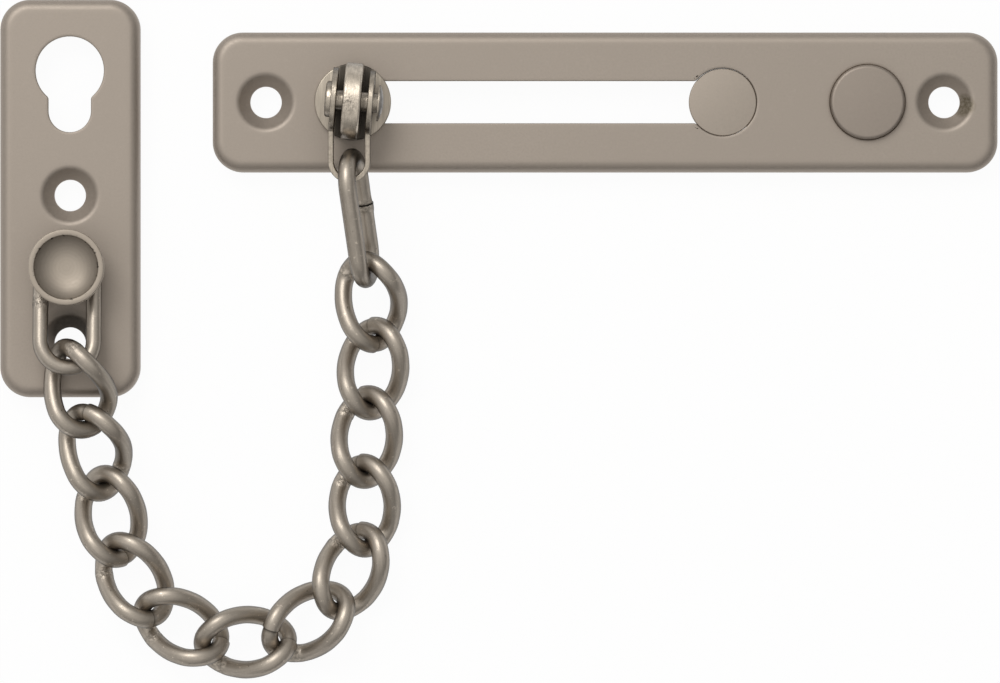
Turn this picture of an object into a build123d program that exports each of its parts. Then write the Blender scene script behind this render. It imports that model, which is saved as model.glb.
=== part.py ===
"""Door chain: a slotted door plate, its slider and bail, a welded chain and the keeper plate.

Millimetres. The origin is midway between the door plate's screw holes, on the plane of both plates' backs.
X runs along the slot, Y across the door plate and Z out of the door.
"""
from build123d import *
from math import atan, cos, degrees, pi, radians, sin, sqrt, tan
import os

os.makedirs("parts", exist_ok=True)

# Pressed plates
SHEET = 1.2
PLATE_DEPTH = 5.0
PLATE_WIDTH = 23.2
PLATE_CORNER = 5.0
PLATE_EDGE = 1.8
DOOR_PLATE_LENGTH = 130.3
KEEPER_LENGTH = 66.0

# Screw holes, pressed in as countersinks
SCREW_SPACING = 112.6
KEEPER_SCREW_SPACING = 24.5
SCREW_RADIUS = 2.6
SCREW_HEAD_RADIUS = 4.6
SCREW_ANGLE = 90
SCREW_WALL = 0.8

# Slot and entry hole of the door plate
SLOT_WIDTH = 7.0
SLOT_LEFT = -45.3
ENTRY_X = 19.5
ENTRY_RADIUS = 5.65
THROAT_ROUND = 0.8

# Release catch behind the door plate
CATCH_GAP = 0.15
CATCH_RECESS = 0.3
CATCH_PLUG_THICKNESS = 1.5
CATCH_PLUG_CHAMFER = 0.2
SPRING_THICKNESS = 0.5
SPRING_WIDTH = 8.0
BUTTON_X = 43.5
BUTTON_RADIUS = 6.2
BUTTON_RISE = 1.4
BUTTON_EDGE = 0.7
BUTTON_LIP = 1.0
LIP_THICKNESS = 0.5

# Slider: a rivet in the slot, with a disc and a lug that turn on it
SLIDER_X = -41.85
SHANK_GAP = 0.2
FLANGE_RADIUS = 5.3
FLANGE_THICKNESS = 1.0
SLIDE_GAP = 0.1
NECK_RADIUS = 1.8
RIVET_HEAD_RADIUS = 2.6
RIVET_HEAD_DEPTH = 0.8
DISC_RADIUS = 6.35
DISC_THICKNESS = 1.6
DISC_EDGE = 0.25
LUG_THICKNESS = 3.0
LUG_RADIUS = 6.35
LUG_EDGE = 0.4
LUG_FOOT_RADIUS = 5.9
TENON_WIDTH = 2.0
TENON_PLACE = 4.4
PIN_HEIGHT = 12.4
SWIVEL_REST = -5.0

# Bail and its pin
STRIP = 0.9
STRIP_WIDTH = 3.6
BAIL_INSIDE = 5.2
BAIL_REACH = 13.47
EAR_RADIUS = 5.3
EAR_BLEND = 1.5
BAIL_DROOP = 3.0
PIN_RADIUS = 1.65
PIN_GAP = 0.1
PIN_SIDE_GAP = 0.05
PIN_HEAD_RADIUS = 3.0
PIN_HEAD_THICKNESS = 0.9
PIN_GRIP = 7.8

# Chain wire: its section has flat sides, and 13 of them meet flush where a twisted link's halves join
WIRE_SIDES = 13
BEND_STEPS = 8
LEG_STEPS = 3

# Twisted links
LINK_WIRE = 3.05
LINK_LENGTH = 11.95
LINK_WIDTH = 6.1
LINK_TWIST = 43.3453
LINK_PLAY = 0.55

# Long link, hung on the bail
LONG_LINK_LENGTH = 17.8
LONG_LINK_WIDTH = 5.9
LONG_LINK_HEADING = -82.0
LONG_LINK_DROP = 17.0
LONG_LINK_ROLL = 76.0
LONG_LINK_PLAY = 0.375
LONG_LINK_SLACK = 1.45
LONG_LINK_SIDE = 0.34

# End link, round the neck of the stud
END_LINK_WIRE = 2.7
END_LINK_LENGTH = 18.4
END_LINK_WIDTH = 6.2
END_LINK_HEADING = 90.0
END_LINK_DROP = 11.5
END_LINK_ROLL = -11.0
END_LINK_PLAY = 0.675
END_LINK_SHIFT = (-0.5, 0, 0.1)

# How the chain lies: heading of each twisted link seen from above, its roll, and the rise of its far crossing
LINK_HEADINGS = [-81, -96, -94.5, -89, -114.5, -146, -178, -209.5, -240, -259.5, -255.5, -255.5]
LINK_ROLLS = [0, 0, 0, 0, 0, 0, 0, 0, 0, 0, 0, 14]
CROSSING_LIFTS = [0, 0, 0, 0, 0, 0, 0, 0, 0, 0, 3.8, 6.75]
FLOOR_GAP = 0.03

# Stud of the keeper plate
NECK_ACROSS = 5.0
NECK_GAP = 0.3
STUD_HEAD_RADIUS = 6.22
STUD_HEAD_THICKNESS = 2.5
STUD_EDGE = 0.5
STUD_CLEARANCE = 0.15
DISH_RADIUS = 5.25
DISH_DEPTH = 1.3
DISH_STEPS = 4
STUD_FOOT_RADIUS = 2.0
STUD_PEEN_RADIUS = 3.0
STUD_PEEN_THICKNESS = 0.8
STUD_SIDE = -0.2
STUD_Y = -11.5

# Keyhole of the keeper plate
KEYHOLE_RADIUS = 5.67
KEYHOLE_SLOT = 7.05
KEYHOLE_Y = 21.2
KEYHOLE_SLOT_Y = 14.5
KEEPER_SCREWS_Y = -11.75


def pressed_pan(length, width):
    """A sheet pan with rounded corners, a rounded front edge and an open back."""
    with BuildPart() as pan:
        with BuildSketch():
            RectangleRounded(length, width, PLATE_CORNER)
        extrude(amount=PLATE_DEPTH)
        front_edges = pan.faces().sort_by(Axis.Z)[-1].edges()
        fillet(front_edges, PLATE_EDGE)
        with BuildSketch():
            RectangleRounded(length - 2 * SHEET, width - 2 * SHEET, PLATE_CORNER - SHEET)
        extrude(amount=PLATE_DEPTH - SHEET, mode=Mode.SUBTRACT)
    return pan.part


def screw_dimple():
    """The cone of sheet pressed back round a screw hole, with its mouth at height zero."""
    slope = tan(radians(SCREW_ANGLE / 2))
    cone_depth = (SCREW_HEAD_RADIUS - SCREW_RADIUS) / slope
    bottom = -(cone_depth + SCREW_WALL)
    back_radius = SCREW_HEAD_RADIUS + SHEET / cos(radians(SCREW_ANGLE / 2)) - SHEET * slope
    foot_radius = back_radius + (bottom + SHEET) * slope
    with BuildPart() as dimple:
        with BuildSketch(Plane.XZ):
            with BuildLine():
                Polyline(
                    (0, 0),
                    (back_radius, 0),
                    (back_radius, -SHEET),
                    (foot_radius, bottom),
                    (0, bottom),
                    close=True,
                )
            make_face()
        revolve(axis=Axis.Z)
    return dimple.part


def plate_with_dimples(length, width, hole_centres):
    """A pan laid along X, with a countersunk dimple at each hole centre."""
    dimple = screw_dimple()
    with BuildPart() as plate:
        add(pressed_pan(length, width))
        with Locations(*[(x, y, PLATE_DEPTH) for x, y in hole_centres]):
            add(dimple)
            CounterSinkHole(SCREW_RADIUS, SCREW_HEAD_RADIUS, PLATE_DEPTH, SCREW_ANGLE)
    return plate.part


def half_ring(inner_length, inner_width, wire, twist):
    """Right half of a welded ring: flat-sided wire swept from the middle of one end to the middle of the other."""
    corners = ring_corners(inner_length, inner_width, wire, twist)
    with BuildPart() as half:
        with BuildLine() as path:
            Polyline(*corners)
        with BuildSketch(Plane(corners[0], x_dir=(0, 1, 0), z_dir=corners[1] - corners[0])):
            RegularPolygon(wire / 2, WIRE_SIDES)
        sweep(path=path.line, transition=Transition.RIGHT)
    return half.part


def ring_corners(inner_length, inner_width, wire, twist):
    """Corners of half a ring's centreline, which stand outside its bends so that the ends keep their seat."""
    radius = (inner_width + wire) / 2
    half_length = (inner_length + wire) / 2
    bend_y = half_length - radius
    step = radians(180 / BEND_STEPS)
    corner_radius = radius / cos(step / 2)
    upper = [(0, half_length)]
    for k in range(BEND_STEPS // 2):
        angle = pi / 2 - (k + 0.5) * step
        upper.append((corner_radius * cos(angle), bend_y + corner_radius * sin(angle)))
    leg_top = upper[-1][1]
    leg = [(radius, leg_top * (1 - 2 * k / LEG_STEPS)) for k in range(1, LEG_STEPS)]
    lower = [(x, -y) for x, y in reversed(upper)]
    return [twisted(x, y, half_length, twist) for x, y in upper + leg + lower]


def twisted(x, y, half_length, twist):
    """A point of the flat ring, turned about the long axis by up to the twist at each end."""
    turn = radians(twist) * sin(pi / 2 * y / half_length)
    return Vector(x * cos(turn), y, x * sin(turn))


def heading_vector(heading, drop=0.0):
    """Unit vector along a heading seen from above, falling by the drop angle."""
    level = cos(radians(drop))
    return Vector(level * cos(radians(heading)), level * sin(radians(heading)), -sin(radians(drop)))


def ring_plane(centre, direction, roll=0.0):
    """Plane of a ring that lies along a direction: its Y looks back along the chain, and it rolls about that."""
    back = -direction.normalized()
    level_across = back.cross(Vector(0, 0, 1)).normalized()
    across = level_across.rotate(Axis((0, 0, 0), back), roll)
    return Plane(centre, x_dir=across, z_dir=across.cross(back))


# Door plate
with BuildPart() as door_plate:
    half_spacing = SCREW_SPACING / 2
    add(plate_with_dimples(DOOR_PLATE_LENGTH, PLATE_WIDTH, [(-half_spacing, 0), (half_spacing, 0)]))
    slot_start = SLOT_LEFT + SLOT_WIDTH / 2
    with BuildSketch(Plane.XY.offset(PLATE_DEPTH)) as slot:
        with Locations(((slot_start + ENTRY_X) / 2, 0)):
            SlotCenterToCenter(ENTRY_X - slot_start, SLOT_WIDTH)
        with Locations((ENTRY_X, 0)):
            Circle(ENTRY_RADIUS)
        throat = slot.vertices().filter_by(lambda v: v.X > 0 and abs(abs(v.Y) - SLOT_WIDTH / 2) < 0.01)
        fillet(throat, THROAT_ROUND)
        with Locations((BUTTON_X, 0)):
            Circle(BUTTON_RADIUS + CATCH_GAP)
    extrude(amount=-2 * SHEET, mode=Mode.SUBTRACT)
door_plate.part.label = "door_plate"
export_step(door_plate.part, "parts/door_plate.step")

# Catch: plug and button on one leaf spring
leaf_front = PLATE_DEPTH - CATCH_RECESS - CATCH_PLUG_THICKNESS
leaf_left = ENTRY_X - SPRING_WIDTH / 2
leaf_right = BUTTON_X + SPRING_WIDTH / 2
with BuildPart() as catch_plug:
    with BuildSketch(Plane.XY.offset(leaf_front)):
        with Locations((ENTRY_X, 0)):
            Circle(ENTRY_RADIUS - CATCH_GAP)
    extrude(amount=CATCH_PLUG_THICKNESS)
    chamfer(catch_plug.edges().group_by(Axis.Z)[-1], CATCH_PLUG_CHAMFER)
catch_plug.part.label = "catch_plug"
export_step(catch_plug.part, "parts/catch_plug.step")

with BuildPart() as catch_button:
    with BuildSketch(Plane.XY.offset(leaf_front)):
        with Locations((BUTTON_X, 0)):
            Circle(BUTTON_RADIUS + BUTTON_LIP)
    extrude(amount=LIP_THICKNESS)
    with BuildSketch(Plane.XY.offset(leaf_front)):
        with Locations((BUTTON_X, 0)):
            Circle(BUTTON_RADIUS)
    extrude(amount=PLATE_DEPTH + BUTTON_RISE - leaf_front)
    for softening in (BUTTON_EDGE, BUTTON_EDGE / 3):
        chamfer(catch_button.edges().group_by(Axis.Z)[-1], softening)
catch_button.part.label = "catch_button"
export_step(catch_button.part, "parts/catch_button.step")

with BuildPart() as catch_spring:
    with BuildSketch(Plane.XY.offset(leaf_front)):
        with Locations(((leaf_left + leaf_right) / 2, 0)):
            RectangleRounded(leaf_right - leaf_left, SPRING_WIDTH, SPRING_WIDTH / 4)
    extrude(amount=-SPRING_THICKNESS)
catch_spring.part.label = "catch_spring"
export_step(catch_spring.part, "parts/catch_spring.step")

# Slider rivet: flange behind the sheet, shank in the slot, neck riveted over in the disc
sheet_back = PLATE_DEPTH - SHEET
flange_front = sheet_back - SLIDE_GAP
shank_front = PLATE_DEPTH + SLIDE_GAP
disc_back = shank_front + SLIDE_GAP
disc_front = disc_back + DISC_THICKNESS
shank_radius = SLOT_WIDTH / 2 - SHANK_GAP
rivet_front = disc_front - SLIDE_GAP
with BuildPart() as slider_rivet:
    with BuildSketch(Plane.XZ):
        with BuildLine():
            Polyline(
                (SLIDER_X, flange_front - FLANGE_THICKNESS),
                (SLIDER_X + FLANGE_RADIUS, flange_front - FLANGE_THICKNESS),
                (SLIDER_X + FLANGE_RADIUS, flange_front),
                (SLIDER_X + shank_radius, flange_front),
                (SLIDER_X + shank_radius, shank_front),
                (SLIDER_X + NECK_RADIUS, shank_front),
                (SLIDER_X + NECK_RADIUS, rivet_front - RIVET_HEAD_DEPTH),
                (SLIDER_X + RIVET_HEAD_RADIUS, rivet_front),
                (SLIDER_X, rivet_front),
                close=True,
            )
        make_face()
    revolve(axis=Axis((SLIDER_X, 0, 0), (0, 0, 1)))
slider_rivet.part.label = "slider_rivet"
export_step(slider_rivet.part, "parts/slider_rivet.step")

# Slider disc, turned with the lug on the rivet
head_turn = Vector(cos(radians(SWIVEL_REST)), sin(radians(SWIVEL_REST)))
disc_plane = Plane((SLIDER_X, 0, disc_back), x_dir=head_turn, z_dir=(0, 0, 1))
sink_angle = 2 * degrees(atan((RIVET_HEAD_RADIUS - NECK_RADIUS) / RIVET_HEAD_DEPTH))
sink_radius = RIVET_HEAD_RADIUS + SLIDE_GAP * (1 + sqrt(2))
with BuildPart() as slider_disc:
    with BuildSketch(disc_plane):
        Circle(DISC_RADIUS)
        with Locations((0, TENON_PLACE), (0, -TENON_PLACE)):
            Rectangle(LUG_THICKNESS, TENON_WIDTH, mode=Mode.SUBTRACT)
    extrude(amount=DISC_THICKNESS)
    front_face = slider_disc.faces().sort_by(Axis.Z)[-1]
    chamfer(front_face.outer_wire().edges(), DISC_EDGE)
    with Locations(disc_plane.offset(DISC_THICKNESS)):
        CounterSinkHole(NECK_RADIUS + SLIDE_GAP, sink_radius, DISC_THICKNESS, sink_angle)
slider_disc.part.label = "slider_disc"
export_step(slider_disc.part, "parts/slider_disc.step")

# Slider lug, tenoned into the disc
pin_plane = Plane((SLIDER_X, 0, PIN_HEIGHT), x_dir=Vector(0, 0, 1).cross(head_turn), z_dir=head_turn)
lug_foot = disc_front - PIN_HEIGHT
with BuildPart() as slider_lug:
    with BuildSketch(pin_plane):
        Circle(LUG_RADIUS)
        with BuildLine():
            Polyline(
                (LUG_RADIUS, 0),
                (-LUG_RADIUS, 0),
                (-LUG_FOOT_RADIUS, lug_foot),
                (LUG_FOOT_RADIUS, lug_foot),
                close=True,
            )
        make_face()
        with Locations((0, lug_foot)):
            Rectangle(2 * LUG_RADIUS, 2 * LUG_RADIUS, align=(Align.CENTER, Align.MAX), mode=Mode.SUBTRACT)
    extrude(amount=LUG_THICKNESS / 2, both=True)
    rim = slider_lug.edges().filter_by(GeomType.CIRCLE)
    chamfer(rim, LUG_EDGE)
    with BuildSketch(pin_plane):
        with Locations((TENON_PLACE, lug_foot), (-TENON_PLACE, lug_foot)):
            Rectangle(TENON_WIDTH, DISC_THICKNESS, align=(Align.CENTER, Align.MAX))
    extrude(amount=LUG_THICKNESS / 2, both=True)
    with BuildSketch(pin_plane):
        Circle(PIN_RADIUS + PIN_GAP)
    extrude(amount=LUG_THICKNESS, both=True, mode=Mode.SUBTRACT)
slider_lug.part.label = "slider_lug"
export_step(slider_lug.part, "parts/slider_lug.step")

# Bail: strip bent to a U in plan, with its outline cut from the side; its legs kink back from the turned ears
bail_normal = Vector(0, 0, 1).rotate(Axis((0, 0, 0), head_turn), BAIL_DROOP)
bail_plane = Plane((SLIDER_X, 0, PIN_HEIGHT), x_dir=head_turn, z_dir=bail_normal)
bail_side = Plane(bail_plane.origin, x_dir=bail_plane.y_dir, z_dir=bail_plane.x_dir)
leg_x = (BAIL_INSIDE + STRIP) / 2
leg_length = BAIL_REACH - STRIP / 2 - leg_x - EAR_RADIUS
leg_direction = Vector(sin(radians(-SWIVEL_REST)), -cos(radians(-SWIVEL_REST)))
loop_centre = Vector(0, -EAR_RADIUS) + leg_direction * leg_length
with BuildPart() as bail:
    with BuildSketch(bail_plane):
        with BuildLine():
            loop = CenterArc((loop_centre.X, loop_centre.Y), leg_x, 180 - SWIVEL_REST, 180)
            Polyline((-leg_x, EAR_RADIUS), (-leg_x, -EAR_RADIUS), loop @ 0)
            Polyline(loop @ 1, (leg_x, -EAR_RADIUS), (leg_x, EAR_RADIUS))
        trace(line_width=STRIP)
    extrude(amount=EAR_RADIUS, both=True)
    with BuildSketch(bail_side) as outline:
        Circle(EAR_RADIUS)
        Rectangle(2 * BAIL_REACH, STRIP_WIDTH, align=(Align.MAX, Align.CENTER))
        fillet(outline.vertices().filter_by(lambda v: -EAR_RADIUS < v.X < 0), EAR_BLEND)
        Circle(PIN_RADIUS + PIN_GAP, mode=Mode.SUBTRACT)
    extrude(amount=2 * leg_x, both=True, mode=Mode.INTERSECT)
bail.part.label = "bail"
export_step(bail.part, "parts/bail.step")

# Bail pin, headed against the left ear and loose at the right one
pin_left = -(leg_x + STRIP / 2 + PIN_SIDE_GAP)
with BuildPart() as bail_pin:
    with BuildSketch(pin_plane.offset(pin_left)):
        Circle(PIN_RADIUS)
    extrude(amount=PIN_GRIP)
    with BuildSketch(pin_plane.offset(pin_left), pin_plane.offset(pin_left + PIN_GRIP + PIN_HEAD_THICKNESS)):
        Circle(PIN_HEAD_RADIUS)
    extrude(amount=-PIN_HEAD_THICKNESS)
bail_pin.part.label = "bail_pin"
export_step(bail_pin.part, "parts/bail_pin.step")

# Long link, hanging on edge from the bail's loop
long_direction = heading_vector(LONG_LINK_HEADING, LONG_LINK_DROP)
loop_seat = bail_plane.from_local_coords(loop_centre + leg_direction * (leg_x - STRIP / 2))
long_top = loop_seat + Vector(LONG_LINK_SIDE, LONG_LINK_SLACK, 0)
long_centre = long_top + long_direction * (LONG_LINK_LENGTH / 2)
first_crossing = long_top + long_direction * (LONG_LINK_LENGTH - LONG_LINK_PLAY)
long_half = half_ring(LONG_LINK_LENGTH, LONG_LINK_WIDTH, LINK_WIRE, 0)
with BuildPart(ring_plane(long_centre, long_direction, LONG_LINK_ROLL)) as long_link:
    add(long_half)
    add(long_half, rotation=(0, 180, 0))
long_link.part.label = "long_link"
export_step(long_link.part, "parts/long_link.step")

# Twisted links, one after another from crossing to crossing
reach = LINK_LENGTH - LINK_PLAY
link_corners = ring_corners(LINK_LENGTH, LINK_WIDTH, LINK_WIRE, LINK_TWIST)
lowest_crossing = max(abs(corner.Z) for corner in link_corners) + LINK_WIRE / 2 + FLOOR_GAP
crossings = [first_crossing]
for heading, lift in zip(LINK_HEADINGS, CROSSING_LIFTS):
    rise = lowest_crossing + lift - crossings[-1].Z
    run = heading_vector(heading) * sqrt(reach**2 - rise**2)
    crossings.append(crossings[-1] + run + Vector(0, 0, rise))

link_half = half_ring(LINK_LENGTH, LINK_WIDTH, LINK_WIRE, LINK_TWIST)
link_planes = []
for near, far, roll in zip(crossings, crossings[1:], LINK_ROLLS):
    link_planes.append(ring_plane((near + far) * 0.5, far - near, roll))
for number, plane in enumerate(link_planes, start=1):
    with BuildPart(plane) as link:
        add(link_half)
        add(link_half, rotation=(0, 180, 0))
    link.part.label = f"link_{number:02d}"
    export_step(link.part, f"parts/{link.part.label}.step")

# End link, from the last crossing to the stud
end_direction = heading_vector(END_LINK_HEADING, END_LINK_DROP)
end_centre = crossings[-1] + end_direction * (END_LINK_LENGTH / 2 - END_LINK_PLAY) + Vector(*END_LINK_SHIFT)
end_half = half_ring(END_LINK_LENGTH, END_LINK_WIDTH, END_LINK_WIRE, 0)
with BuildPart(ring_plane(end_centre, end_direction, END_LINK_ROLL)) as end_link:
    add(end_half)
    add(end_half, rotation=(0, 180, 0))
end_link.part.label = "end_link"
export_step(end_link.part, "parts/end_link.step")

# Stud: turned neck and dished head, riveted through the keeper plate
neck_radius = NECK_ACROSS / 2
end_inside = end_centre + end_direction * (END_LINK_LENGTH / 2)
stud_x = end_inside.X
stud_y = end_inside.Y - NECK_GAP - neck_radius
leg_rise = (END_LINK_WIDTH + END_LINK_WIRE) / 2 * sin(radians(abs(END_LINK_ROLL))) + END_LINK_WIRE / 2
rim_distance = end_centre.Y - (stud_y - STUD_HEAD_RADIUS)
neck_front = end_centre.Z + rim_distance * tan(radians(END_LINK_DROP)) + leg_rise + STUD_CLEARANCE
stud_front = neck_front + STUD_HEAD_THICKNESS
peen_back = sheet_back - STUD_PEEN_THICKNESS
dish_shares = [1 - k / DISH_STEPS for k in range(DISH_STEPS + 1)]
dish = [(DISH_RADIUS * share, stud_front - DISH_DEPTH * (1 - share**2)) for share in dish_shares]
with BuildPart() as stud:
    with BuildSketch(Plane((stud_x, stud_y, 0), x_dir=(1, 0, 0), z_dir=(0, -1, 0))):
        with BuildLine():
            Polyline(
                (0, peen_back),
                (STUD_PEEN_RADIUS, peen_back),
                (STUD_PEEN_RADIUS, sheet_back),
                (STUD_FOOT_RADIUS, sheet_back),
                (STUD_FOOT_RADIUS, PLATE_DEPTH),
                (neck_radius, PLATE_DEPTH),
                (neck_radius, neck_front),
                (STUD_HEAD_RADIUS - STUD_EDGE, neck_front),
                (STUD_HEAD_RADIUS, neck_front + STUD_EDGE),
                (STUD_HEAD_RADIUS, stud_front - STUD_EDGE),
                (STUD_HEAD_RADIUS - STUD_EDGE, stud_front),
                *dish,
                close=True,
            )
        make_face()
    revolve(axis=Axis((stud_x, stud_y, 0), (0, 0, 1)))
stud.part.label = "stud"
export_step(stud.part, "parts/stud.step")

# Keeper plate
keeper_x = stud_x - STUD_SIDE
keeper_y = stud_y - STUD_Y
keeper_plane = Plane((keeper_x, keeper_y, 0))
screw_offset = KEEPER_SCREW_SPACING / 2
keeper_screws = [(0, KEEPER_SCREWS_Y + screw_offset), (0, KEEPER_SCREWS_Y - screw_offset)]
with BuildPart(keeper_plane) as keeper_plate:
    add(plate_with_dimples(PLATE_WIDTH, KEEPER_LENGTH, keeper_screws))
    with BuildSketch(keeper_plane.offset(PLATE_DEPTH)) as keyhole:
        with Locations((0, (KEYHOLE_Y + KEYHOLE_SLOT_Y) / 2)):
            SlotCenterToCenter(KEYHOLE_Y - KEYHOLE_SLOT_Y, KEYHOLE_SLOT, rotation=90)
        with Locations((0, KEYHOLE_Y)):
            Circle(KEYHOLE_RADIUS)
        neck = keyhole.vertices().filter_by(lambda v: v.Y > KEYHOLE_SLOT_Y + THROAT_ROUND)
        fillet(neck.filter_by(lambda v: abs(abs(v.X) - KEYHOLE_SLOT / 2) < 0.01), THROAT_ROUND)
        with Locations((STUD_SIDE, STUD_Y)):
            Circle(STUD_FOOT_RADIUS)
    extrude(amount=-2 * SHEET, mode=Mode.SUBTRACT)
keeper_plate.part.label = "keeper_plate"
export_step(keeper_plate.part, "parts/keeper_plate.step")
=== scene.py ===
"""Door chain: the finished look of its plates, catch, slider, bail, welded chain and stud.

Metres. X runs along the slot, Y across the door plate and Z out of the door.
"""

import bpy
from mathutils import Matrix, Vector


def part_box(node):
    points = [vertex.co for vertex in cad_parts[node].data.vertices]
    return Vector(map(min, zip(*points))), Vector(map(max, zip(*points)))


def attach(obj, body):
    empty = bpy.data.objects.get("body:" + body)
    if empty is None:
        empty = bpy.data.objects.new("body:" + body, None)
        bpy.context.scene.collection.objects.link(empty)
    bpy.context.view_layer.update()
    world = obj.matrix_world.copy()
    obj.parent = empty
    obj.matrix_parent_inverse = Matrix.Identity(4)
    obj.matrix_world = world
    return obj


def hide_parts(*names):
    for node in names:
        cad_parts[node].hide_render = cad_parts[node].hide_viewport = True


bl_info = {
    "name": "Door Chain Finish",
    "version": (1, 0, 0),
    "blender": (4, 5, 0),
    "location": "View3D > Sidebar > Door Chain",
    "description": "Models and finishes the pressed plates, slider, bail and welded chain of a door chain",
    "category": "Object",
}

from math import asin, cos, exp, pi, radians, sin, sqrt, tan

import bmesh
import bpy
from bpy.props import FloatProperty, FloatVectorProperty, IntProperty, PointerProperty
from mathutils import Matrix, Vector, noise

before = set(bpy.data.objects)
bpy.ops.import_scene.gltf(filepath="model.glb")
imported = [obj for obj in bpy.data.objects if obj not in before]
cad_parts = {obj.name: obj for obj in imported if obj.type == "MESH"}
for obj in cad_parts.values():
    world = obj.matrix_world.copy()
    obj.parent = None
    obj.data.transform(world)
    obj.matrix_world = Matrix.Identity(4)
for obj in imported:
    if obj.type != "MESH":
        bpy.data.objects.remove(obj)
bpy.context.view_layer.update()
MM = 0.001

# Places and sizes in millimetres and headings in degrees, most of them shared with the solids
SHEET = 1.2
PLATE_DEPTH = 5.0
PLATE_CORNER = 5.0
PLATE_EDGE = 1.8
SCREW_RADIUS = 2.6
SCREW_HEAD_RADIUS = 4.6
SCREW_WALL = 0.8
SCREW_EDGE = 0.12
SCREW_EDGE_DROP = 0.1
MOUTH_ROUND = 1.3
DOOR_SCREW_X = 56.3
SLOT_HALF = 3.5
SLOT_END_X = -41.8
ENTRY_X = 19.5
ENTRY_RADIUS = 5.65
THROAT_ROUND = 0.8
OPENING_BAND = 0.5
PLUG_CLEARANCE = 0.03
PLUG_FRONT = 4.7
PLUG_BACK = 3.2
PLUG_EDGE = 0.2
BUTTON_X = 43.5
BUTTON_RADIUS = 6.2
BUTTON_LIP = 7.2
BUTTON_CLEARANCE = 0.02
BUTTON_FRONT = 6.4
BUTTON_EDGE = 0.6
LIP_FRONT = 3.7
SLIDER_X = -41.85
SWIVEL_REST = radians(-5)
DISC_RADIUS = 6.35
DISC_BACK = 5.2
DISC_FRONT = 6.8
DISC_EDGE = 0.22
LUG_THICKNESS = 3.0
LUG_RADIUS = 6.35
LUG_FOOT_RADIUS = 5.9
LUG_FOOT_DEPTH = 0.3
LUG_EDGE = 0.4
PIN_HEIGHT = 12.4
STRIP = 0.9
STRIP_WIDTH = 3.6
BAIL_INSIDE = 5.2
BAIL_REACH = 13.47
EAR_RADIUS = 5.3
EAR_BLEND = 1.5
BAIL_DROOP = radians(3)
BAIL_EDGE = 0.16
EAR_TIP_HALF = 0.35
PIN_RADIUS = 1.65
PIN_HEAD_RADIUS = 3.0
PIN_HEAD_THICKNESS = 0.9
PIN_DOME_FOOT = 0.25
PIN_DRESSED_EDGE = ((0.5, 0.0), (0.15, 0.12), (0.0, 0.4))
PIN_GRIP = 7.8
PIN_LEFT = -4.0 + 0.45
LINK_WIRE = 3.05
LINK_LENGTH = 11.95
LINK_WIDTH = 6.1
LINK_TWIST = radians(43.3453)
LINK_PLAY = 0.55
LONG_LINK_LENGTH = 17.8
LONG_LINK_WIDTH = 5.9
LONG_LINK_HEADING = -82.0
LONG_LINK_DROP = 17.0
LONG_LINK_ROLL = 76.0
LONG_LINK_PLAY = 0.375
LONG_LINK_SLACK = 1.45
LONG_LINK_SIDE = 0.34
END_LINK_WIRE = 2.7
END_LINK_LENGTH = 18.4
END_LINK_WIDTH = 6.2
END_LINK_HEADING = 90.0
END_LINK_DROP = 11.5
END_LINK_ROLL = -11.0
END_LINK_PLAY = 0.675
END_LINK_SHIFT = (-0.5, 0, 0.1)
SEAM_PROUD = 0.05
SEAM_PROUD_LENGTH = 1.4
SEAM_SUNK = 0.22
SEAM_SUNK_LENGTH = 1.0
WELD_LENGTH = 0.9
WELD_LUMPS_LENGTH = 1.1
RING_TIGHTER = 0.66
LONG_LINK_LIFT = 0.2
LINK_HEADINGS = [-81, -96, -94.5, -89, -114.5, -146, -178, -209.5, -240, -259.5, -255.5, -255.5]
LINK_ROLLS = [0, 0, 0, 0, 0, 0, 0, 0, 0, 0, 0, 14]
CROSSING_LIFTS = [0, 0, 0, 0, 0, 0, 0, 0, 0, 0, 3.8, 6.75]
LOWEST_CROSSING = 4.05
KEYHOLE_RADIUS = 5.67
KEYHOLE_SLOT_HALF = 3.525
KEYHOLE_Y = 21.2
KEYHOLE_SLOT_Y = 14.5
KEEPER_SCREWS_Y = (0.5, -24.0)
STUD_HEAD_RADIUS = 6.3
STUD_RIM = 1.0
STUD_DISH = 1.75
STUD_DISH_EDGE = 0.1
STUD_LIP = ((0.12, 0.0), (0.03, 0.03))
STUD_HEAD_DEPTH = 2.5
STUD_NECK_RADIUS = 2.5
STUD_SHANK_RADIUS = 2.0
STUD_TAIL_RADIUS = 3.0
STUD_BACK_ROUND = 0.5
STUD_FRONT_ROUND = 0.25
SEAM_LINE_AFTER = 0.06
SEAM_LINE_BEFORE = 0.3

# How finely curves are drawn, and within how many metres points count as one or as lying in the front
CORNER_STEPS = 14
PLATE_EDGE_STEPS = 10
ROUND_STEPS = 72
SLOT_END_STEPS = 32
THROAT_STEPS = 4
MOUTH_STEPS = 8
DOME_STEPS = 8
TURNED_STEPS = 96
PIN_STEPS = 64
EAR_STEPS = 28
LOOP_STEPS = 40
DISH_STEPS = 20
MERGED_WITHIN = 1e-6
FRONT_WITHIN = 1e-7

# Sections of a ring: millimetres from its weld and from its seam, how many even ones, and shares of it
WELD_SECTIONS = (-1.6, -1.2, -0.9, -0.65, -0.4, -0.2, 0, 0.2, 0.4, 0.65, 0.9, 1.2, 1.6)
SEAM_SECTIONS = (-1.2, -0.8, -0.5, -0.3, -0.14, -0.05, 0.02, 0.08, 0.2, 0.4, 0.8)
EVEN_SECTIONS = 72
PAST_SEAM = 0.0003
TANGENT_STEP = 0.002

# Lumps on a weld's bead: a factor on its height, then how fast they change along the wire and round it
LUMP_SIZE = 1.6
LUMP_SPREAD = (1.6, 2.3)

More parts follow.
